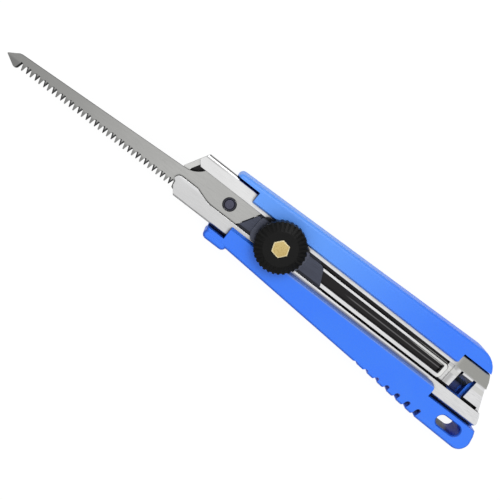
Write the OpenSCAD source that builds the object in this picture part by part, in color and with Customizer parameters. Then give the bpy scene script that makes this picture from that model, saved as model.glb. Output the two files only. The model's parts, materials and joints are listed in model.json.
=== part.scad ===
// Pull saw with a pointed blade that slides out of a wheel-lock holder.
// Lengths are in millimetres. +X points along the blade to its tip, +Y to the teeth
// and +Z out of the face that carries the wheel. The holder's flat back lies on Z = 0,
// and X = Y = 0 is the middle of the handle on the centre line of the rail.

/* [Handle] */
// Length of the moulded handle, tail to front
handle_l = 134.5; // [125:0.5:150]
// Thickness from the flat back to the face
handle_t = 10.5; // [10:0.25:13]
// Width of the moulding beside the sleeve on the spine side, at the front
spine_front_h = 2.25; // [2:0.05:3.5]
// Width of the moulding beside the sleeve on the spine side, at the heel
spine_heel_h = 6; // [4.5:0.1:8]
// Width of the moulding beside the sleeve on the tooth side, at the front
tooth_front_h = 3.1; // [2.5:0.1:4]
// Width of the moulding beside the sleeve on the tooth side, at the waist
tooth_waist_h = 8; // [7.5:0.25:9]
// Width of the moulding beside the sleeve on the tooth side, at the tail
tooth_tail_h = 11.5; // [11:0.25:14]
// Radius of the moulding's long edges at the face
face_edge_r = 1.4; // [0.8:0.1:1.6]
// Radius of the moulding's long edges at the back
back_edge_r = 0.8; // [0.4:0.1:1.2]
// Thickness of the flanges that hold the sleeve down
flange_t = 1.75; // [1.5:0.05:2.5]
// Width between the two flanges, at the sleeve
flange_gap = 11.5; // [11.3:0.1:12.5]
// Slope of each flange's inner edge, seen from above
flange_bevel = 0.85; // [0.3:0.05:1.2]
// Length of the open front part, where no flange covers the sleeve
front_notch_l = 9.75; // [7:0.05:12]
// Length of the open rear part on the tooth side, where no flange covers the sleeve
rear_notch_l = 26.25; // [25:0.05:28]
// Clearance beside the sleeve in the open parts, on the tooth side
notch_gap = 0.85; // [0.4:0.05:1.1]
// Clearance beside the sleeve in the open parts, on the spine side
spine_gap = 0.4; // [0.3:0.05:0.9]

/* [Grip and lanyard slot] */
// Number of finger grooves in the tooth edge
groove_count = 7; // [4:1:8]
// Distance from one finger groove to the next
groove_pitch = 5.25; // [4.4:0.05:5.5]
// Width of a finger groove at its round bottom
groove_w = 1.9; // [1.4:0.1:2]
// Length of the lanyard slot
lanyard_l = 11; // [9:0.25:12]
// Width of the lanyard slot
lanyard_w = 4.85; // [4.4:0.05:5.5]

/* [Sleeve] */
// Length of the steel sleeve, nose to tail
sleeve_l = 149; // [145:0.5:152]
// Distance from the handle's tail to the sleeve's rear end
sleeve_set = 3.05; // [2:0.05:5]
// Side play of the tang inside the sleeve, on each side
tang_play = 0.4; // [0.2:0.05:0.6]
// Height of the sleeve, back to lips
sleeve_h = 3.5; // [3.4:0.05:3.8]
// Thickness of the sheet
sheet_t = 0.7; // [0.6:0.05:0.8]
// Outer radius of the folds
fold_r = 0.95; // [0.85:0.05:1.2]
// Gap between the two lips
lip_gap = 8.92; // [8.6:0.02:9.2]
// Width of the trough that guides the slider's keel
trough_w = 3.6; // [3.4:0.05:3.8]
// Width of the pressed rail on the spine side of the trough, at its foot
rail_w = 1.45; // [1.2:0.05:1.7]
// Width of the pressed rail on the tooth side of the trough, at its foot
tooth_rail_w = 2; // [1.7:0.05:2.2]

/* [Blade] */
// Length of the blade that stands out of the sleeve
blade_reach = 71.2; // [66:0.1:72]
// Width of the tang
tang_w = 17.8; // [17:0.05:18.5]
// Thickness of the blade
blade_t = 0.6; // [0.5:0.05:0.65]
// Distance from one tooth to the next
tooth_pitch = 1.814; // [1.6:0.01:2.2]
// Depth of a tooth
tooth_h = 2.2; // [1.8:0.05:2.5]
// Angle of the alternating bevels on the teeth
tooth_bevel = 36; // [10:1:40]
// Height of the blade at the nose of the sleeve
blade_root_h = 8.5; // [8:0.1:9]
// Height of the blade behind its pointed end
blade_end_h = 4.95; // [4.5:0.05:5.5]
// Diameter of the hole that drops over the pin
pin_hole_d = 5.1; // [4.9:0.05:5.6]

/* [Slider and wheel] */
// Diameter of the pin's head
pin_d = 3.9; // [3.4:0.05:4.2]
// Diameter of the clamp stud
stud_d = 3; // [2.6:0.1:3.2]
// Diameter of the lock wheel over its ribs
wheel_d = 19.5; // [17:0.1:21]
// Height of the wheel's ribbed rim
rim_h = 6.1; // [5:0.1:7]
// Clear height of the rim above the handle's face
rim_clear = 0.7; // [0.4:0.05:1.5]
// Number of ribs around the wheel
rib_count = 32; // [24:1:36]
// Diameter of the wheel's boss, which passes between the flanges
boss_d = 10.4; // [9.8:0.1:10.8]
// Width of the brass nut across its flats
nut_af = 6.1; // [5.6:0.05:6.4]
// Thickness of the oblong washer
washer_t = 0.5; // [0.4:0.05:0.8]
// Length of the oblong washer, along the slider
washer_l = 22.8; // [20:0.1:24]

/* [Hidden] */
$fn = 64;
// One overrun serves every cut that runs past a face, and one sliver the ends of a sloped block
over = 1;
sliver = 0.02;
// Clearances: sleeve in its seat, blade between lips and rails, keel in the trough,
// tang in front of the slider's plate, nut on the stud and in the wheel
seat_gap = 0.05;
seat_side_gap = 0.1;
run_gap = 0.05;
keel_gap = 0.15;
tang_gap = 0.4;
thread_gap = 0.05;

// Levels, from the back upwards
flange_z = handle_t - flange_t;
lip_z = flange_z - seat_gap;
seat_z = lip_z - sleeve_h;
base_z = seat_z + sheet_t;
under_lip_z = lip_z - sheet_t;
blade_z = under_lip_z - run_gap - blade_t;
rail_z = blade_z - run_gap;
keel_z = base_z + keel_gap;
washer_z = lip_z;
boss_z = washer_z + washer_t;
rim_z = handle_t + rim_clear;
wheel_top_z = rim_z + rim_h;

// Places along the handle, and the sleeve, which is anchored near the tail
front_x = handle_l / 2;
tail_x = -handle_l / 2;
sleeve_rear_x = tail_x + sleeve_set;
nose_x = sleeve_rear_x + sleeve_l;
sleeve_w = tang_w + 2 * (tang_play + sheet_t);
fold_y = sleeve_w / 2;

// Places along the slider and the blade, with the blade out
stud_set = 44.8;
pin_set = 23.35;
slider_front_set = 14.35;
slider_tail_set = 19.9;
stud_x = nose_x - stud_set;
pin_x = stud_x + pin_set;
slider_front_x = stud_x + slider_front_set;
slider_tail_x = stud_x - slider_tail_set;
tang_x = slider_front_x + tang_gap;
tip_x = nose_x + blade_reach;

// Handle: sizes of its outline, whose corners are round posts
corner_r = 1.9;
tail_r = 4;
round_r = 4.7;
heel_r = 9.15;
heel_set = 21.3;
grip_set = 25.3;
waist_set = 57.15;
tail_set = 4.65;
tail_rise = 4.4;
tooth_side_set = 2.5;
lobe_h = 5.2;
lobe_l = 6.3;
flange_corner_r = 2.6;
flange_shift = 0.45;

// Handle: finger grooves and lanyard slot
groove_set = 56.6;
groove_depth = 0.95;
groove_mouth_r = 0.8;
groove_lean_share = 0.25;
lanyard_set = 12;
lanyard_rise = 5.35;
lanyard_rim = 0.5;

// Sleeve: outlines of the nose and the rear, as shares of their length and of half the width
nose_l = 5.2;
nose_shares = [[0, -1], [0.385, -0.655], [1, -0.088], [1, 0.45], [0.83, 0.53], [0.79, 0.68],
               [0.61, 0.81], [0.35, 1]];
rear_l = 9.7;
rear_shares = [[0.07, 1], [0, 0.9], [0, 0.82], [0.11, 0.585], [0.25, 0.39], [0.73, -0.517],
               [0.81, -0.72], [1, -1]];
nose_rim_shares = [[-0.33, -0.907], [0.48, -0.175], [0.56, 1]];
lip_trim_shares = [[0.385, -0.655], [0.05, -0.446]];
bulge_shares = [[-2.04, 0.446], [-1.67, 0.406], [-0.98, 0.29], [-0.77, 0.245],
                [0.654, 0.242], [0.865, 0.28], [0.96, 0.35], [1, 0.45]];

// Sleeve: the trough inside the pressed rails, the dip behind them, the raised platform
// and the groove beside it
trough_front_set = 17.6;
trough_rear_set = 25.25;
rail_end_w = 2.1;
trough_y = 0.3;
rail_foot_h = 0.9;
rail_slope_w = 0.3;
rail_corner_r = 1.6;
trough_corner_r = 0.4;
dip_l = 1.35;
dip_depth = 0.5;
groove_side_y = 3.5;
groove_end_set = 3.8;

// Sleeve: window with the tab that is bent down into a pocket of the handle
window_set = 18.4;
window_l = 7.5;
window_y = -4.2;
window_h = 10;
ear_front = 1;
ear_rear = 1.4;
tab_root = 0.8;
tab_l = 5.25;
tab_angle = 40;
tab_gap = 0.3;
pocket_floor_z = 2.6;
pocket_y = -3.2;
pocket_h = 7.6;
lug_t = 1.2;
lug_h = 1.6;
lug_gap = 0.15;

// Blade: tang, teeth and pointed end, whose outline is given as shares of its length
// and of the height behind it
snap_angle = 60;
tooth_set = 1.1;
tang_front_set = 4.3;
teeth_start_set = 0.4;
root_fillet_r = 9;
gullet_floor = 0.5;
gullet_rake = 35;
gullet_end_set = 1.4;
tooth_land = 0.08;
point_l = 7.6;
point_shares = [[0, 0], [0.41, 0.035], [0.54, 0.09], [0.645, 0.2], [0.975, 0.52], [1, 0.57],
                [0.98, 0.62], [0.51, 1.07], [0.45, 1.1], [0.37, 1.1], [0.316, 1.05], [0.28, 1]];

// Slider: plate, raised band and the keel that runs on under the blade
slider_w = tang_w;
band_w = 6.6;
band_h = 0.55;
tail_lean_share = 0.54;
tail_trim_l = 1.9;
tail_trim_y = 2.7;
keel_w = trough_w - 2 * keel_gap;
keel_front_set = 2.95;
keel_rear_set = 4.4;

// Pin, stud, washer and nut
pin_h = 0.95;
pin_bevel = 0.35;
pin_foot_d = 2;
collar_gap = 0.1;
collar_h = 0.35;
head_l = 7.4;
head_h = 1.2;
stud_hole_gap = 0.1;
washer_gap = 0.3;
washer_corner_r = 3.4;
nut_sink = 0.4;
nut_cap = 1;
nut_turn = -10;

// Wheel
rib_w = 0.85;
rib_h = 0.3;
wheel_flat_r = 6.4;
wheel_bevel_h = 1.6;
rim_edge = 0.4;

// Plain forms that several pieces use
function arc(x, y, r, from, to, steps) = [for (i = [0:steps])
    let (a = from + (to - from) * i / steps) [x + r * cos(a), y + r * sin(a)]];

function on_line(x, a, b) = a.y + (b.y - a.y) * (x - a.x) / (b.x - a.x);

module box(from, to) translate(from) cube(to - from);

module above(z, h) translate([0, 0, z]) linear_extrude(h) children();

module along_x(from, to) translate([from, 0, 0]) rotate([90, 0, 90])
    linear_extrude(to - from) children();

module stadium(l, w) {
    square([l - w, w], center = true);
    for (side = [-1, 1]) translate([side * (l - w) / 2, 0]) circle(w / 2);
}

// An oblong with round corners, between two corners of its outline
module oblong(from, to, r) polygon(concat(
    arc(to.x - r, to.y - r, r, 0, 90, 5), arc(from.x + r, to.y - r, r, 90, 180, 5),
    arc(from.x + r, from.y + r, r, 180, 270, 5), arc(to.x - r, from.y + r, r, 270, 360, 5)));

module rounded(w, h, r) {
    translate([r - w / 2, 0]) square([w - 2 * r, h]);
    translate([-w / 2, r]) square([w, h - 2 * r]);
    for (x = [r - w / 2, w / 2 - r], y = [r, h - r]) translate([x, y]) circle(r);
}

// Handle: one moulding. Its corners are posts, written as [x, y, radius]
front_corner_x = front_x - corner_r;
lobe_x = front_corner_x - tooth_side_set;
heel_x = tail_x + heel_set;
waist_x = tail_x + waist_set;
grip_x = tail_x + grip_set;
grip_share = 0.83;
tooth_grip_h = tooth_waist_h + (tooth_tail_h - tooth_waist_h) * grip_share;
spine_waist_h = on_line(waist_x, [heel_x, spine_heel_h], [front_corner_x, spine_front_h]);

function on_spine(x, h, r) = [x, r - fold_y - h, r];
function on_teeth(x, h, r) = [x, fold_y + h - r, r];

waist_posts = [
    on_spine(waist_x, spine_waist_h, corner_r),
    on_teeth(waist_x, tooth_waist_h, corner_r)];
front_posts = [
    on_spine(front_corner_x, spine_front_h, corner_r),
    on_teeth(lobe_x, tooth_front_h, corner_r)];
lobe_posts = [
    on_teeth(lobe_x, lobe_h, corner_r),
    on_teeth(lobe_x - lobe_l, lobe_h, corner_r)];
rear_posts = [
    on_teeth(grip_x, tooth_grip_h, corner_r),
    on_teeth(tail_x + round_r, tooth_tail_h, round_r),
    [tail_x + tail_set, fold_y + tail_rise, tail_r],
    on_spine(heel_x, spine_heel_h, heel_r)];

module post(p) translate([p.x, p.y, 0]) rotate_extrude($fn = 32) polygon(concat(
    [[0, 0]],
    arc(p.z - back_edge_r, back_edge_r, back_edge_r, -90, 0, 3),
    arc(p.z - face_edge_r, handle_t - face_edge_r, face_edge_r, 0, 90, 4),
    [[0, handle_t]]));

module moulding() {
    hull() for (p = concat(waist_posts, front_posts)) post(p);
    hull() for (p = concat(waist_posts, rear_posts)) post(p);
    hull() for (p = lobe_posts) post(p);
}

// The sleeve's seat runs from end to end and is open to the face before and behind the flanges
flange_front_x = front_x - front_notch_l;
flange_rear_x = tail_x + rear_notch_l;

module seat() {
    channel_y = fold_y + seat_side_gap;
    tooth_y = fold_y + notch_gap;
    spine_y = fold_y + spine_gap;
    lower_y = flange_gap / 2;
    upper_y = lower_y + flange_bevel;
    box([tail_x - over, -channel_y, seat_z], [front_x + over, channel_y, flange_z]);
    box([flange_front_x, -spine_y, seat_z], [front_x + over, tooth_y, handle_t + over]);
    box([tail_x - over, 0, seat_z], [flange_rear_x, tooth_y, handle_t + over]);
    box([tail_x - over, -spine_y, seat_z], [flange_rear_x + flange_shift, 0, handle_t + over]);
    along_x(flange_rear_x - over, flange_front_x + over) polygon([
        [-lower_y, seat_z], [lower_y, seat_z], [lower_y, flange_z], [upper_y, handle_t],
        [upper_y, handle_t + over], [-upper_y, handle_t + over], [-upper_y, handle_t],
        [-lower_y, flange_z]]);
    above(seat_z, handle_t - seat_z + over) translate([flange_rear_x, lower_y]) difference() {
        translate([-over, -over]) square(flange_corner_r + over);
        translate([flange_corner_r, flange_corner_r]) circle(flange_corner_r);
    }
}

// A finger groove has a round bottom and rounded mouths, and leans towards the blade
module finger_groove(x) {
    edge_y = fold_y + on_line(x, [grip_x, tooth_grip_h], [waist_x, tooth_waist_h]);
    bottom_y = fold_y + tooth_waist_h - groove_depth + groove_w / 2;
    mouth_r = min(groove_mouth_r, edge_y - bottom_y);
    mouth_x = groove_w / 2 + mouth_r;
    outline = concat(
        [[-mouth_x, edge_y + over]],
        arc(-mouth_x, edge_y - mouth_r, mouth_r, 90, 0, 5),
        arc(0, bottom_y, groove_w / 2, 180, 360, 10),
        arc(mouth_x, edge_y - mouth_r, mouth_r, 180, 90, 5),
        [[mouth_x, edge_y + over]]);
    above(-over, handle_t + 2 * over) polygon([for (p = outline)
        [x + p.x + (p.y - bottom_y) * groove_lean_share, p.y]]);
}

module lanyard_slot() translate([tail_x + lanyard_set, fold_y + lanyard_rise, 0]) {
    mouth_w = lanyard_w / 2 + lanyard_rim + over;
    end_x = (lanyard_l - lanyard_w) / 2;
    above(-over, handle_t + 2 * over) stadium(lanyard_l, lanyard_w);
    for (x = [-end_x, end_x]) translate([x, 0, handle_t - lanyard_rim])
        cylinder(lanyard_rim + over, lanyard_w / 2, mouth_w);
    along_x(-end_x, end_x) polygon([
        [-lanyard_w / 2, handle_t - lanyard_rim], [lanyard_w / 2, handle_t - lanyard_rim],
        [mouth_w, handle_t + over], [-mouth_w, handle_t + over]]);
}

window_x = sleeve_rear_x + window_set;
tab_x = window_x - ear_front;
tab_w = window_l - ear_front - ear_rear;

// A lug stands in the sleeve's window, beside the pocket that takes the bent tab
module handle() color([0.13, 0.36, 0.9]) difference() {
    moulding();
    difference() {
        seat();
        box([window_x - window_l + lug_gap, pocket_y + pocket_h, seat_z - over],
            [window_x - lug_gap, pocket_y + pocket_h + lug_t, seat_z + lug_h]);
    }
    lanyard_slot();
    for (i = [0:groove_count - 1]) finger_groove(tail_x + groove_set - i * groove_pitch);
    box([tab_x - tab_w - tab_gap, pocket_y, pocket_floor_z],
        [tab_x + tab_gap, pocket_y + pocket_h, seat_z + over]);
}

// Sleeve: one sheet with folded lips, pressed rails and a raised platform at the rear
nose_start_x = nose_x - nose_l;
trough_front_x = nose_x - trough_front_set;
trough_rear_x = sleeve_rear_x + trough_rear_set;
rails_front_x = trough_front_x + rail_end_w;
rails_rear_x = trough_rear_x - rail_end_w;
platform_x = rails_rear_x - dip_l;
groove_end_x = sleeve_rear_x + groove_end_set;
inner_y = fold_y - sheet_t;
trough_from_y = trough_y - trough_w / 2;
trough_to_y = trough_y + trough_w / 2;

function nose_points(shares) = [for (p = shares)
    [nose_start_x + p.x * nose_l, p.y * fold_y]];
function rear_points(shares) = [for (p = shares)
    [sleeve_rear_x + p.x * rear_l, p.y * fold_y]];

module sleeve_plan() polygon(concat(nose_points(nose_shares), rear_points(rear_shares)));

// The platform is the sheet pressed up to the blade's level, so it is hollow below
module platform_plan(inset) {
    start_x = sleeve_rear_x - over;
    translate([start_x, -inner_y]) square([platform_x - inset - start_x,
                                           groove_side_y - inset + inner_y]);
    translate([start_x, -inner_y]) square([groove_end_x - inset - start_x, 2 * inner_y]);
}

module folded_sheet() difference() {
    along_x(sleeve_rear_x - over, nose_x + over) translate([0, seat_z]) difference() {
        rounded(sleeve_w, sleeve_h, fold_r);
        translate([0, sheet_t]) rounded(2 * inner_y, sleeve_h - 2 * sheet_t, fold_r - sheet_t);
        translate([-lip_gap / 2, sleeve_h / 2]) square([lip_gap, sleeve_h]);
    }
    above(seat_z - over, rail_z - sheet_t - seat_z + over) platform_plan(sheet_t);
}

// A block whose sides rise straight and then lean outwards, or inwards with a negative lean
module sloped_block(from, to, r, lean) {
    foot_z = base_z + rail_foot_h;
    above(base_z - sheet_t / 2, foot_z - base_z + sheet_t / 2) oblong(from, to, r);
    hull() {
        above(foot_z - sliver, sliver) oblong(from, to, r);
        above(rail_z - sliver, sliver) oblong(from - [lean, lean], to + [lean, lean], r);
    }
}

module sheet_forms() {
    difference() {
        sloped_block([rails_rear_x, trough_from_y - rail_w],
                     [rails_front_x, trough_to_y + tooth_rail_w], rail_corner_r, -rail_slope_w);
        sloped_block([trough_rear_x, trough_from_y], [trough_front_x, trough_to_y],
                     trough_corner_r, rail_slope_w);
    }
    box([platform_x - sheet_t, -inner_y, seat_z],
        [rails_rear_x + rail_end_w / 2, groove_side_y, rail_z - dip_depth]);
    difference() {
        above(seat_z, rail_z - seat_z) platform_plan(0);
        above(seat_z - over, rail_z - sheet_t - seat_z + over) platform_plan(sheet_t);
    }
    above(base_z - sheet_t / 2, rail_z - base_z + sheet_t / 2) polygon(concat(
        nose_points(nose_rim_shares), [[nose_x + over, inner_y], [nose_x + over, -inner_y]]));
    above(under_lip_z, sheet_t) polygon(nose_points(bulge_shares));
}

// The tab's side view, from its root in the platform down to its end
module tab_side() {
    bend_y = window_y + tab_root;
    end = [bend_y + tab_l * cos(tab_angle), rail_z - tab_l * sin(tab_angle)];
    polygon([
        [window_y - sheet_t, rail_z], [bend_y, rail_z], end,
        end - sheet_t * [sin(tab_angle), cos(tab_angle)],
        [bend_y - sheet_t * tan(tab_angle / 2), rail_z - sheet_t],
        [window_y - sheet_t, rail_z - sheet_t]]);
}

module sleeve() color([0.82, 0.82, 0.84]) {
    difference() {
        intersection() {
            above(seat_z - over, sleeve_h + 2 * over) sleeve_plan();
            union() {
                folded_sheet();
                sheet_forms();
            }
        }
        above(rail_z, sleeve_h) polygon(concat(nose_points(lip_trim_shares),
            [[nose_x, -lip_gap / 2]]));
        box([window_x - window_l, window_y, seat_z - over],
            [window_x, window_y + window_h, rail_z + over / 2]);
    }
    along_x(tab_x - tab_w, tab_x) tab_side();
}

// Saw blade: flat, with a pointed end and alternately bevelled teeth
tooth_y = tang_w / 2 - tooth_set;
spine_y = -tang_w / 2;
point_x = tip_x - point_l;
back_y = tooth_y - blade_root_h;
end_y = tooth_y - blade_end_h;
gullet_end_x = point_x + gullet_end_set;
gullet_count = floor((gullet_end_x - nose_x + teeth_start_set) / tooth_pitch);
fillet_y = back_y - root_fillet_r;
fillet_from = 180 - asin((spine_y - fillet_y) / root_fillet_r);

module blade_plan() polygon(concat(
    [[tang_x + spine_y / tan(snap_angle), spine_y]],
    arc(nose_x, fillet_y, root_fillet_r, fillet_from, 90, 10),
    [for (p = point_shares) [point_x + p.x * point_l, end_y + p.y * blade_end_h]],
    [[nose_x - teeth_start_set, tooth_y], [nose_x - tang_front_set, tang_w / 2],
     [tang_x - spine_y / tan(snap_angle), tang_w / 2]]));

// A gullet is cut square to its own bevel and deeper on the face than on the back
module gullet(x, bevel) {
    half_w = ((tooth_pitch - tooth_land) * cos(tooth_bevel) + blade_t * sin(tooth_bevel)) / 2;
    grow = (half_w - gullet_floor / 2) * over / tooth_h;
    translate([x, tooth_y - tooth_h, blade_t / 2]) rotate([gullet_rake, bevel, 0])
        above(-2 * over, 4 * over) polygon([
            [-gullet_floor / 2, 0], [gullet_floor / 2, 0], [half_w + grow, tooth_h + over],
            [-half_w - grow, tooth_h + over]]);
}

module saw_blade() color([0.68, 0.68, 0.67]) translate([0, 0, blade_z]) difference() {
    linear_extrude(blade_t) blade_plan();
    translate([pin_x, 0, -over]) cylinder(blade_t + 2 * over, d = pin_hole_d);
    for (i = [0:gullet_count])
        gullet(gullet_end_x - i * tooth_pitch, tooth_bevel * (i % 2 == 0 ? 1 : -1));
}

// Slider: a plate under the lips, with a raised band between them and a keel in the trough
keel_front_x = pin_x + keel_front_set;
keel_rear_x = stud_x + keel_rear_set;

module slider_plan() {
    half_w = slider_w / 2;
    front_lean = half_w / tan(snap_angle);
    trim_x = slider_tail_x + tail_lean_share * tail_trim_y;
    polygon([
        [slider_front_x - front_lean, -half_w], [slider_front_x + front_lean, half_w],
        [slider_tail_x - tail_lean_share * half_w, half_w], [trim_x, -tail_trim_y],
        [trim_x + tail_trim_l, -tail_trim_y - tail_trim_l / 2], [trim_x + tail_trim_l, -half_w]]);
}

module slider() color([0.27, 0.28, 0.31]) difference() {
    union() {
        above(blade_z, blade_t) slider_plan();
        above(blade_z, blade_t + band_h) intersection() {
            slider_plan();
            translate([slider_tail_x - band_w, -band_w / 2]) square([tip_x - slider_tail_x, band_w]);
        }
        above(keel_z, blade_z - keel_z) {
            translate([keel_rear_x, trough_y - keel_w / 2])
                square([keel_front_x - keel_w / 2 - keel_rear_x, keel_w]);
            translate([keel_front_x - keel_w / 2, trough_y]) circle(keel_w / 2);
        }
    }
    translate([stud_x, 0, keel_z - over])
        cylinder(sleeve_h + over, d = stud_d + 2 * stud_hole_gap);
    translate([pin_x, 0, keel_z - over]) cylinder(sleeve_h + over, d = pin_foot_d);
}

// Pin: its foot is riveted into the keel, its collar fills the blade's hole and its head stands out
module blade_pin() color([0.35, 0.35, 0.38]) translate([pin_x, 0, 0]) {
    above(keel_z, blade_z - keel_z) circle(d = pin_foot_d);
    above(blade_z, collar_h) circle(d = pin_hole_d - 2 * collar_gap);
    above(blade_z, pin_h - pin_bevel) circle(d = pin_d);
    translate([0, 0, blade_z + pin_h - pin_bevel])
        cylinder(pin_bevel, d1 = pin_d, d2 = pin_d - 2 * pin_bevel);
}

// Stud: its flat head lies in the trough and cannot turn there. The washer lies on the lips,
// between the flanges
nut_top_z = wheel_top_z - nut_sink;
stud_top_z = nut_top_z - nut_cap;

module clamp_stud() color([0.5, 0.5, 0.52]) translate([stud_x, 0, 0]) {
    translate([-head_l / 2, trough_y + (keel_gap - keel_w) / 2, blade_z - head_h])
        cube([head_l, keel_w - keel_gap, head_h]);
    above(blade_z - head_h / 2, stud_top_z - blade_z + head_h / 2) circle(d = stud_d);
}

module washer() color([0.2, 0.2, 0.21]) translate([stud_x, 0, 0]) above(washer_z, washer_t) {
    corner = [washer_l / 2, flange_gap / 2 - washer_gap];
    difference() {
        oblong(-corner, corner, washer_corner_r);
        circle(d = stud_d + 4 * stud_hole_gap);
    }
}

// Wheel: a ribbed rim over the handle's face and a boss that reaches down to the washer
module wheel_core() {
    core_r = wheel_d / 2 - rib_h;
    rotate_extrude() polygon([
        [0, boss_z], [boss_d / 2, boss_z], [boss_d / 2, rim_z],
        [core_r - rim_edge, rim_z], [core_r, rim_z + rim_edge],
        [core_r, wheel_top_z - wheel_bevel_h - rib_h], [wheel_flat_r, wheel_top_z],
        [0, wheel_top_z]]);
}

module wheel_rib() rotate([90, 0, 0]) translate([0, 0, -rib_w / 2]) linear_extrude(rib_w) polygon([
    [wheel_flat_r - rib_h, rim_z + rim_edge], [wheel_d / 2 - rim_edge, rim_z],
    [wheel_d / 2, rim_z + rim_edge], [wheel_d / 2, wheel_top_z - wheel_bevel_h],
    [wheel_flat_r, wheel_top_z], [wheel_flat_r - rib_h, wheel_top_z - rib_h]]);

module lock_wheel() color([0.1, 0.1, 0.1]) translate([stud_x, 0, 0]) difference() {
    union() {
        wheel_core();
        for (i = [0:rib_count - 1]) rotate([0, 0, i * 360 / rib_count]) wheel_rib();
    }
    above(boss_z - over, wheel_top_z - boss_z + 2 * over) nut_plan(thread_gap);
}

module nut_plan(gap) rotate([0, 0, nut_turn]) circle(d = (nut_af + 2 * gap) / cos(30), $fn = 6);

module hex_nut() color([0.85, 0.72, 0.42]) translate([stud_x, 0, 0]) difference() {
    above(boss_z, nut_top_z - boss_z) nut_plan(0);
    above(boss_z - over, stud_top_z - boss_z + over + thread_gap) circle(d = stud_d + 2 * thread_gap);
}

handle();
sleeve();
saw_blade();
slider();
blade_pin();
clamp_stud();
washer();
lock_wheel();
hex_nut();
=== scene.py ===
"""Looks of a pull saw whose pointed blade slides out of a blue holder with a wheel lock."""

import json
from math import cos, radians, sin, tan

import bmesh
import bpy
from mathutils import Matrix, Vector

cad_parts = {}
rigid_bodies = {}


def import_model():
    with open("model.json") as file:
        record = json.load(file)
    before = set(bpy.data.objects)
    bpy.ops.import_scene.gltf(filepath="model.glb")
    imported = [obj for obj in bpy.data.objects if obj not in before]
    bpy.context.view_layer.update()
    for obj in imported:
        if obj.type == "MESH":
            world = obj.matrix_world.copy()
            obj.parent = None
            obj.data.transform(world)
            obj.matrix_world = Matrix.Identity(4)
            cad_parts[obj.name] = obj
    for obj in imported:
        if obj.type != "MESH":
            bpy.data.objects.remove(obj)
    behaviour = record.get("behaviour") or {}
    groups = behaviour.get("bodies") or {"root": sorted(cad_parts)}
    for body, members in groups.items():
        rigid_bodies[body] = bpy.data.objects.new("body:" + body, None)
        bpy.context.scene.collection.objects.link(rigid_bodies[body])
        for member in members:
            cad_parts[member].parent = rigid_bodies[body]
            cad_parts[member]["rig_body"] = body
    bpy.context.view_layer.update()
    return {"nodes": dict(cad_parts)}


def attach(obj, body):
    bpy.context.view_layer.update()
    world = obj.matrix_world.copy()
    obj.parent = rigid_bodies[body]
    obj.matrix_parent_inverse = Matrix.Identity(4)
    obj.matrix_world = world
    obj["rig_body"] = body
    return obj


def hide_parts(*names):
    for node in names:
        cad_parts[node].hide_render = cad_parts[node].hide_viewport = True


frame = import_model()

# Handle
# One moulding of blue plastic with a fine moulded grain. It lies on its flat back,
# its flanges hold the sleeve down, and its tooth-side edge has the finger grooves.

# Lengths are written in millimetres, and MM turns them into metres
MM = 0.001
sharp_angle = radians(30)


def finished(node, edge, keen_y=None):
    """A piece made from a CAD node: faces joined, sharp edges rounded, shading smooth.

    An edge too short for the rounding, or one that meets such an edge, stays sharp,
    and so does an edge that reaches past keen_y.
    """
    offset = edge * MM
    merge_distance, flat_angle = 0.002 * MM, radians(0.5)
    piece = bpy.data.objects.new(node + "_finished", frame["nodes"][node].data.copy())
    bpy.context.scene.collection.objects.link(piece)
    piece.data.materials.clear()
    work = bmesh.new()
    work.from_mesh(piece.data)
    bmesh.ops.remove_doubles(work, verts=work.verts, dist=merge_distance)
    bmesh.ops.dissolve_limit(work, angle_limit=flat_angle, verts=work.verts, edges=work.edges)
    sharp = [e for e in work.edges if e.is_manifold and e.calc_face_angle() > sharp_angle]
    roomy = [e for e in sharp
             if all(near.calc_length() > 2 * offset for v in e.verts for near in v.link_edges)]
    if keen_y is not None:
        roomy = [e for e in roomy if all(v.co.y < keen_y * MM for v in e.verts)]
    bmesh.ops.bevel(work, geom=roomy, offset=offset, offset_type="OFFSET", segments=2,
                    profile=0.5, affect="EDGES", clamp_overlap=False, material=-1)
    for face in work.faces:
        face.smooth = True
    work.to_mesh(piece.data)
    work.free()
    piece.data.set_sharp_from_angle(angle=sharp_angle)
    even = piece.modifiers.new("even_shading", "WEIGHTED_NORMAL")
    even.keep_sharp = True
    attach(piece, frame["nodes"][node]["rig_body"])
    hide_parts(node)
    return piece


handle = finished("handle", 0.12)


def finish_of(piece, name, metallic=0.0):
    """A new material on a piece: its node tree, and its Principled BSDF ready to be wired."""
    material = bpy.data.materials.new(name)
    material.use_nodes = True
    shader = material.node_tree.nodes["Principled BSDF"]
    shader.inputs["Metallic"].default_value = metallic
    piece.data.materials.append(material)
    return material.node_tree, shader


def hue(red, green, blue):
    """A colour as seen on a screen, 0 to 255, in the linear values that a shader takes."""
    shares = [channel / 255 for channel in (red, green, blue)]
    linear = [s / 12.92 if s < 0.04045 else ((s + 0.055) / 1.055) ** 2.4 for s in shares]
    return (*linear, 1.0)


def mixed(tree, mask, first, second):
    """A colour that goes from the first to the second as the mask goes from 0 to 1."""
    mix = tree.nodes.new("ShaderNodeMix")
    mix.data_type = "RGBA"
    tree.links.new(mask, mix.inputs[0])
    for socket, colour in ((mix.inputs[6], first), (mix.inputs[7], second)):
        if isinstance(colour, tuple):
            socket.default_value = colour
        else:
            tree.links.new(colour, socket)
    return mix.outputs[2]


def ramped(tree, value, low, high, from_share=0.0, to_share=1.0):
    """A value that goes smoothly from one share to another while its source goes low to high."""
    ramp = tree.nodes.new("ShaderNodeMapRange")
    ramp.interpolation_type = "SMOOTHSTEP"
    tree.links.new(value, ramp.inputs["Value"])
    for name, number in (("From Min", low), ("From Max", high),
                         ("To Min", from_share), ("To Max", to_share)):
        ramp.inputs[name].default_value = number
    return ramp.outputs["Result"]


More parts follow.
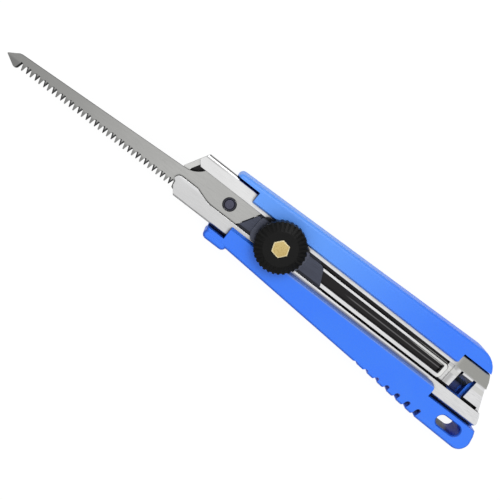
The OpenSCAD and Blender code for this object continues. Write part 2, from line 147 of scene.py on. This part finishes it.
def product(tree, *masks):
    """Several masks multiplied together."""
    result = masks[0]
    for mask in masks[1:]:
        times = tree.nodes.new("ShaderNodeMath")
        times.operation = "MULTIPLY"
        tree.links.new(result, times.inputs[0])
        tree.links.new(mask, times.inputs[1])
        result = times.outputs[0]
    return result


def grain_group(name, grains, bump_depth, rough_from, rough_to):
    """Two colours mixed by a soft mottling and a grain, with roughness and relief from the grain.

    The grains are how many go to a metre along each axis of the object.
    """
    mottles, mottle_share = 90, 0.5
    grain_detail, relief_strength = 3, 0.6
    group = bpy.data.node_groups.new(name, "ShaderNodeTree")
    for side, kind, label in (("INPUT", "NodeSocketColor", "Colour"),
                              ("INPUT", "NodeSocketColor", "Second colour"),
                              ("OUTPUT", "NodeSocketColor", "Colour"),
                              ("OUTPUT", "NodeSocketFloat", "Roughness"),
                              ("OUTPUT", "NodeSocketVector", "Normal")):
        group.interface.new_socket(label, in_out=side, socket_type=kind)
    nodes, links = group.nodes, group.links
    given, result = nodes.new("NodeGroupInput"), nodes.new("NodeGroupOutput")
    place = nodes.new("ShaderNodeTexCoord")
    stretched = nodes.new("ShaderNodeMapping")
    stretched.inputs["Scale"].default_value = grains
    links.new(place.outputs["Object"], stretched.inputs["Vector"])
    grain, mottle = nodes.new("ShaderNodeTexNoise"), nodes.new("ShaderNodeTexNoise")
    grain.inputs["Scale"].default_value = 1
    grain.inputs["Detail"].default_value = grain_detail
    mottle.inputs["Scale"].default_value = mottles
    links.new(stretched.outputs["Vector"], grain.inputs["Vector"])
    links.new(place.outputs["Object"], mottle.inputs["Vector"])
    spots = ramped(group, mottle.outputs["Fac"], 0.35, 0.7, 0, mottle_share)
    lines = ramped(group, grain.outputs["Fac"], 0.3, 0.75)
    soft = mixed(group, spots, given.outputs["Colour"], given.outputs["Second colour"])
    streaked = mixed(group, product(group, lines, lines), soft, given.outputs["Second colour"])
    links.new(streaked, result.inputs["Colour"])
    roughness = ramped(group, grain.outputs["Fac"], 0.3, 0.7, rough_from, rough_to)
    links.new(roughness, result.inputs["Roughness"])
    relief = nodes.new("ShaderNodeBump")
    relief.inputs["Strength"].default_value = relief_strength
    relief.inputs["Distance"].default_value = bump_depth * MM
    links.new(grain.outputs["Fac"], relief.inputs["Height"])
    links.new(relief.outputs["Normal"], result.inputs["Normal"])
    return group


def grained(tree, shader, group, colour, second):
    """The group's grain wired to a shader; returns the colour for masks to be laid over."""
    node = tree.nodes.new("ShaderNodeGroup")
    node.node_tree = group
    node.inputs["Colour"].default_value = colour
    node.inputs["Second colour"].default_value = second
    tree.links.new(node.outputs["Roughness"], shader.inputs["Roughness"])
    tree.links.new(node.outputs["Normal"], shader.inputs["Normal"])
    tree.links.new(node.outputs["Colour"], shader.inputs["Base Color"])
    return node.outputs["Colour"]


def place_in_mm(tree):
    """The place on the object as a vector in millimetres."""
    place = tree.nodes.new("ShaderNodeTexCoord")
    scaled = tree.nodes.new("ShaderNodeVectorMath")
    scaled.operation = "SCALE"
    scaled.inputs["Scale"].default_value = 1 / MM
    tree.links.new(place.outputs["Object"], scaled.inputs[0])
    return scaled.outputs["Vector"]


def places(tree):
    """The X, Y and Z of the place on the object, as three values in millimetres."""
    split = tree.nodes.new("ShaderNodeSeparateXYZ")
    tree.links.new(place_in_mm(tree), split.inputs["Vector"])
    return split.outputs


def between(tree, value, low, high, soft):
    """A mask that is 1 between two values and fades within a soft border."""
    return product(tree, ramped(tree, value, low - soft, low + soft),
                   ramped(tree, value, high - soft, high + soft, 1, 0))


def steep_mask(tree, low, high):
    """A mask that is 0 on faces that look straight up and 1 on walls and rounded edges."""
    geometry = tree.nodes.new("ShaderNodeNewGeometry")
    split = tree.nodes.new("ShaderNodeSeparateXYZ")
    tree.links.new(geometry.outputs["True Normal"], split.inputs["Vector"])
    return ramped(tree, split.outputs["Z"], low, high, 1, 0)


def recess_mask(tree, reach, low, high):
    """A mask that is 0 on open faces and 1 deep in gaps and holes with walls within reach."""
    open_sky = tree.nodes.new("ShaderNodeAmbientOcclusion")
    open_sky.samples = 8
    open_sky.inputs["Distance"].default_value = reach * MM
    return ramped(tree, open_sky.outputs["AO"], low, high, 1, 0)


plastic_grain = grain_group("plastic_grain", (2600, 2600, 2600), 0.012, 0.36, 0.46)
tree, shader = finish_of(handle, "blue_moulding")
face = grained(tree, shader, plastic_grain, hue(42, 120, 255), hue(50, 126, 250))
x, y, z = places(tree)

# A painted sheen makes the face paler towards the spine and the front
painted_sheen_zone = product(tree, ramped(tree, y, -7, 2, 1, 0), ramped(tree, x, -35, 45))
face = mixed(tree, painted_sheen_zone, face, hue(92, 158, 255))

# The tooth-side flange's bevel has a painted grey reflection of the steel and painted shade, and
# the rounded edge has darker painted shade
bevel = product(tree, between(tree, y, 5.3, 6.95, 0.3), ramped(tree, z, 8.6, 8.9),
                ramped(tree, x, 28, 36, 1, 0))
painted_bevel_sheen = mixed(tree, ramped(tree, y, 5.7, 6.5), hue(94, 106, 150), hue(104, 140, 220))
face = mixed(tree, bevel, face, painted_bevel_sheen)
painted_rim_shade = product(tree, steep_mask(tree, 0.7, 0.985), ramped(tree, y, 8, 10),
                    ramped(tree, z, 9, 9.6, 0, 0.8))
face = mixed(tree, painted_rim_shade, face, hue(16, 74, 190))

# Gaps, the lanyard slot and the pocket under the sleeve's window lie in deep blue shade
below_face = ramped(tree, z, 10.1, 10.4, 1, 0)
recess = product(tree, recess_mask(tree, 8, 0.15, 0.62), below_face)
face = mixed(tree, recess, face, hue(0, 8, 80))
slot_wall = product(tree, between(tree, x, -61.5, -50, 0.2), between(tree, y, 12.6, 18.2, 0.2),
                    ramped(tree, z, 9.2, 10, 0.8, 0))
slot_shade = mixed(tree, ramped(tree, x, -60, -56), hue(0, 32, 170), hue(16, 10, 30))
face = mixed(tree, slot_wall, face, slot_shade)
pocket = product(tree, between(tree, x, -51.4, -45, 0.2), between(tree, y, -5, 5.5, 0.3),
                 ramped(tree, z, 6.6, 7, 0.8, 0))
face = mixed(tree, pocket, face, hue(4, 8, 60))
tree.links.new(face, shader.inputs["Base Color"])

# Sleeve
# One strip of stainless sheet, pressed and folded over at both sides. It keeps the fine
# lines of the rolling mill along its length, and its inside is painted dark as shade and a dark
# reflection.
milled_lines = grain_group("milled_lines", (260, 3600, 3600), 0.0012, 0.28, 0.36)
sleeve = finished("sleeve", 0.1)
tree, shader = finish_of(sleeve, "sleeve_sheet", metallic=1.0)
steel = grained(tree, shader, milled_lines, hue(233, 233, 234), hue(214, 214, 215))
x, y, z = places(tree)
above_rails = ramped(tree, z, 7.35, 7.5)
below_lips = ramped(tree, z, 7.35, 7.5, 1, 0)

# Painted shade and darker painted reflections make the dip behind the rails, the ends of the
# lips, a line along the spine-side fold and the nose darker than the rest
rear_lip = product(tree, ramped(tree, x, -43, -39, 1, 0), ramped(tree, y, -5, -4, 1, 0))
steel = mixed(tree, rear_lip, steel, hue(160, 160, 156))
dip = product(tree, between(tree, x, -44.2, -42.4, 0.7), between(tree, y, -4.3, 3.6, 0.2))
steel = mixed(tree, dip, steel, hue(186, 186, 186))
tooth_side = product(tree, ramped(tree, x, 30, 62, 0, 0.7), ramped(tree, y, 2, 4.2))
steel = mixed(tree, tooth_side, steel, hue(200, 200, 200))
spine_side = product(tree, ramped(tree, x, 50, 62, 0, 0.5), ramped(tree, y, -4, -2, 1, 0))
steel = mixed(tree, spine_side, steel, hue(222, 222, 221))
crease = product(tree, between(tree, y, -8.95, -8.55, 0.15), ramped(tree, x, 66, 78))
steel = mixed(tree, crease, steel, hue(178, 178, 178))
nose = product(tree, ramped(tree, x, 79, 80.5), below_lips)
steel = mixed(tree, nose, steel, hue(206, 206, 204))

# Painted shade greys the lips' cut edges and folds, and a painted dark reflection greys the tab
# that is bent down in the window
steep_parts = product(tree, steep_mask(tree, 0.55, 0.8), above_rails)
steel = mixed(tree, steep_parts, steel, hue(100, 100, 98))
tab = product(tree, between(tree, x, -52.2, -46.6, 0.1), ramped(tree, z, 6.6, 6.9, 1, 0),
              between(tree, y, -4.3, 1.5, 0.1))
steel = mixed(tree, tab, steel, hue(150, 150, 122))

# The inside is painted dark as shade and a dark reflection, with a lighter line along the rear
# part of the trough
inside = product(tree, between(tree, z, 5.7, 6.75, 0.12), between(tree, y, -9.4, 9.4, 0.1))
trough_line = product(tree, between(tree, y, 0.15, 0.55, 0.15), ramped(tree, x, 3, 9, 1, 0))
painted_inside_shade = mixed(tree, trough_line, hue(44, 43, 44), hue(104, 103, 104))
steel = mixed(tree, inside, steel, painted_inside_shade)

# Shade lies on the lips near other pieces and beside the flange, and in the gap at the front
near_walls = product(tree, recess_mask(tree, 2, 0.38, 0.88), ramped(tree, x, -46, -45),
                     above_rails)
steel = mixed(tree, near_walls, steel, hue(18, 19, 32))
by_flange = product(tree, between(tree, y, 5.2, 6.2, 0.25), above_rails,
                    between(tree, x, -37, 33, 1))
steel = mixed(tree, by_flange, steel, hue(138, 142, 160))
front_gap = product(tree, ramped(tree, y, -9.3, -9, 1, 0), between(tree, x, 56, 66.2, 0.4))
steel = mixed(tree, front_gap, steel, hue(8, 20, 72))

# Painted highlights: the spine-side rail is bright towards the rear, and so is the rim at the
# trough's rear end
painted_rail_highlight = product(tree, ramped(tree, x, -33, -20, 1, 0), ramped(tree, z, 5.6, 5.8),
                     between(tree, y, -3.05, -1.15, 0.2))
steel = mixed(tree, painted_rail_highlight, steel, hue(214, 214, 212))
painted_rim_highlight = product(tree, between(tree, x, -42.2, -38.9, 0.3), between(tree, y, -3, 3.2, 0.2),
                     ramped(tree, z, 6.7, 6.9))
steel = mixed(tree, painted_rim_highlight, steel, hue(236, 236, 234))
tree.links.new(steel, shader.inputs["Base Color"])

# Slider
# A blackened steel plate that runs between the sleeve's rails and lips. Its raised band
# shows between the lips, and a keel below it runs in the trough and keeps it straight.
slider = finished("slider", 0.08)
tree, shader = finish_of(slider, "blacked_steel", metallic=0.7)
coated = grained(tree, shader, milled_lines, hue(74, 78, 92), hue(64, 67, 80))
z = places(tree)["Z"]
# Below the raised band the plate lies under the lips and has painted shade
below_band = ramped(tree, z, 8.1, 8.3, 1, 0)
coated = mixed(tree, below_band, coated, hue(40, 42, 50))
tree.links.new(coated, shader.inputs["Base Color"])

# Blade pin
# A turned steel pin, riveted into the slider's keel. The hole in the blade's tang drops
# over it, so the blade can be changed once the slider is out of the sleeve.
pin = finished("blade_pin", 0.08)
tree, shader = finish_of(pin, "pin_metal", metallic=0.9)
turned = grained(tree, shader, plastic_grain, hue(84, 84, 100), hue(70, 70, 84))
z = places(tree)["Z"]
# The collar low in the blade's hole has painted shade
collar = ramped(tree, z, 7.9, 8.0, 1, 0)
turned = mixed(tree, collar, turned, hue(60, 60, 68))
tree.links.new(turned, shader.inputs["Base Color"])

# Saw blade
# Ground spring steel that tapers to an arrow-shaped point. The teeth are cut with bevels
# that alternate from side to side, and painted shade makes the cut edges darker than the ground
# faces.
blade = finished("saw_blade", 0.15, keen_y=5)
tree, shader = finish_of(blade, "ground_steel", metallic=1.0)
ground = grained(tree, shader, milled_lines, hue(180, 180, 178), hue(172, 172, 170))
x, y = places(tree)[:2]
# Painted shade makes the blade greyer towards its far end and darker along the teeth
far_end = ramped(tree, x, 75, 160)
ground = mixed(tree, far_end, ground, hue(143, 143, 141))
tooth_zone = ramped(tree, y, 5.2, 6.4, 0, 0.7)
ground = mixed(tree, tooth_zone, ground, hue(116, 116, 115))
lip_shade = product(tree, recess_mask(tree, 0.8, 0.45, 0.95), ramped(tree, y, 0, 1))
ground = mixed(tree, lip_shade, ground, hue(60, 60, 60))
# Painted shade darkens the cut edges and the teeth's bevels
cut_edges = steep_mask(tree, 0.92, 0.985)
ground = mixed(tree, cut_edges, ground, hue(84, 84, 84))
tree.links.new(ground, shader.inputs["Base Color"])

# Clamp stud and washer
# The stud's flat steel head lies under the slider's plate, where the wheel draws it up.
# An oblong blackened washer lies on the sleeve's lips and carries the wheel's boss.
stud = finished("clamp_stud", 0.06)
tree, shader = finish_of(stud, "stud_metal", metallic=1.0)
grained(tree, shader, milled_lines, hue(120, 120, 122), hue(100, 100, 102))
washer = finished("washer", 0.06)
tree, shader = finish_of(washer, "washer_metal", metallic=0.4)
coated = grained(tree, shader, milled_lines, hue(80, 84, 100), hue(68, 71, 84))
y = places(tree)["Y"]
# The washer's spine-side edge has painted shade
spine_corner_shade = ramped(tree, y, -4.4, -3.6, 1, 0)
coated = mixed(tree, spine_corner_shade, coated, hue(14, 14, 18))
tree.links.new(coated, shader.inputs["Base Color"])

# Lock wheel
# A black plastic moulding with ribs around its rim for the thumb. Its boss reaches down
# to the washer, and a turn of the wheel clamps the slider to the lips.
wheel = finished("lock_wheel", 0.08)
tree, shader = finish_of(wheel, "wheel_moulding")
shader.inputs["Specular IOR Level"].default_value = 0.15
grained(tree, shader, plastic_grain, hue(10, 10, 10), hue(20, 20, 19))

# Hex nut
# A machined brass nut, pressed into the wheel, that runs on the stud. A painted highlight,
# pale and less metallic, rims the flat top where its rounded edges catch the light.
nut = finished("hex_nut", 0.3)
tree, shader = finish_of(nut, "nut_brass", metallic=1.0)
brass = grained(tree, shader, plastic_grain, hue(220, 200, 140), hue(180, 152, 90))
place = place_in_mm(tree)
nut_x, rim_start = 40, 2.64
inside_flats = []
for angle in (radians(20), radians(80), radians(140)):
    across = tree.nodes.new("ShaderNodeVectorMath")
    across.operation = "DOT_PRODUCT"
    across.inputs[1].default_value = (cos(angle), sin(angle), 0)
    tree.links.new(place, across.inputs[0])
    middle = nut_x * cos(angle)
    inside_flats.append(between(tree, across.outputs["Value"],
                                middle - rim_start, middle + rim_start, 0.2))
top = product(tree, *inside_flats)
# Outside the flats' inner line the brass carries the painted pale highlight
brass = mixed(tree, top, hue(250, 236, 190), brass)
tree.links.new(brass, shader.inputs["Base Color"])
tree.links.new(ramped(tree, top, 0, 1, 0.1, 1), shader.inputs["Metallic"])

# Floor, light and camera
# The saw lies on plain pale paper under a bright studio ceiling that darkens to the walls.
# Two square lamps light its face, and only the stronger one is mirrored by the steel.
floor_width, floor_gap = 6, 0.05
bpy.ops.mesh.primitive_plane_add(size=floor_width)
floor = bpy.context.object
floor.name = "floor"
floor.location.z = -floor_gap * MM
tree, shader = finish_of(floor, "studio_paper")
shader.inputs["Base Color"].default_value = (0.9, 0.9, 0.9, 1)
shader.inputs["Roughness"].default_value = 0.9
shader.inputs["Specular IOR Level"].default_value = 0

# The paper's own glow makes it white, more so to the camera, and the rest of it takes the shadow
glow_share, seen_glow_share = 0.6, 0.88
light_path = tree.nodes.new("ShaderNodeLightPath")
glow = tree.nodes.new("ShaderNodeEmission")
glow.inputs["Strength"].default_value = 1.05
paper = tree.nodes.new("ShaderNodeMixShader")
share = ramped(tree, light_path.outputs["Is Camera Ray"], 0, 1, glow_share, seen_glow_share)
tree.links.new(share, paper.inputs[0])
tree.links.new(shader.outputs["BSDF"], paper.inputs[1])
tree.links.new(glow.outputs["Emission"], paper.inputs[2])

# From below the paper is clear, so that the back of the saw can be seen
under = tree.nodes.new("ShaderNodeNewGeometry")
clear = tree.nodes.new("ShaderNodeBsdfTransparent")
two_sided = tree.nodes.new("ShaderNodeMixShader")
tree.links.new(under.outputs["Backfacing"], two_sided.inputs[0])
tree.links.new(paper.outputs["Shader"], two_sided.inputs[1])
tree.links.new(clear.outputs["BSDF"], two_sided.inputs[2])
tree.links.new(two_sided.outputs["Shader"], tree.nodes["Material Output"].inputs["Surface"])

# The camera sees white behind the saw, and all else sees the ceiling and the dark walls
walls, white = (0.12, 0.12, 0.13, 1), (1, 1, 1, 1)
world = bpy.data.worlds.new("studio")
bpy.context.scene.world = world
world.use_nodes = True
tree = world.node_tree
direction = tree.nodes.new("ShaderNodeTexCoord")
split = tree.nodes.new("ShaderNodeSeparateXYZ")
tree.links.new(direction.outputs["Generated"], split.inputs["Vector"])
ceiling = ramped(tree, split.outputs["Z"], 0.1, 1.0)
studio = mixed(tree, ceiling, walls, white)
light_path = tree.nodes.new("ShaderNodeLightPath")
tree.links.new(mixed(tree, light_path.outputs["Is Camera Ray"], studio, white),
               tree.nodes["Background"].inputs["Color"])


def softbox(name, place, power, mirrored):
    """A square lamp that faces the saw; only a mirrored one shows in the steel."""
    lamp_width, saw_middle = 0.4, Vector((0.04, 0, 0))
    lamp = bpy.data.lights.new(name, "AREA")
    lamp.size = lamp_width
    lamp.energy = power
    box = bpy.data.objects.new(name, lamp)
    box.location = place
    box.rotation_euler = (saw_middle - Vector(place)).to_track_quat("-Z", "Y").to_euler()
    box.visible_glossy = mirrored
    bpy.context.scene.collection.objects.link(box)


softbox("key", place=(0.05, -0.42, 0.66), power=1.7, mirrored=True)
softbox("fill", place=(-0.45, 0.35, 0.5), power=0.6, mirrored=False)

# The camera looks down on the face, with the blade towards the upper left
lean_x, lean_y = radians(7.774), radians(10.933)
turn = radians(37.629)
aim_point = Vector((47.2, 8.515, 8.7)) * MM
distance = 255.81 * MM
back = Vector((tan(lean_x), -tan(lean_y), 1)).normalized()
left_x = (Vector((-1, 0, 0)) + back.x * back).normalized()
down_y = left_x.cross(back)
right = cos(turn) * left_x - sin(turn) * down_y
down = sin(turn) * left_x + cos(turn) * down_y
camera_data = bpy.data.cameras.new("camera")
camera_data.lens = 50.4
camera_data.sensor_width = 36
camera_data.clip_start = 0.01
camera = bpy.data.objects.new("camera", camera_data)
camera.matrix_world = Matrix((right, -down, back)).transposed().to_4x4()
camera.location = aim_point + distance * back
bpy.context.scene.collection.objects.link(camera)
bpy.context.scene.camera = camera
bpy.context.scene.view_settings.view_transform = "Standard"
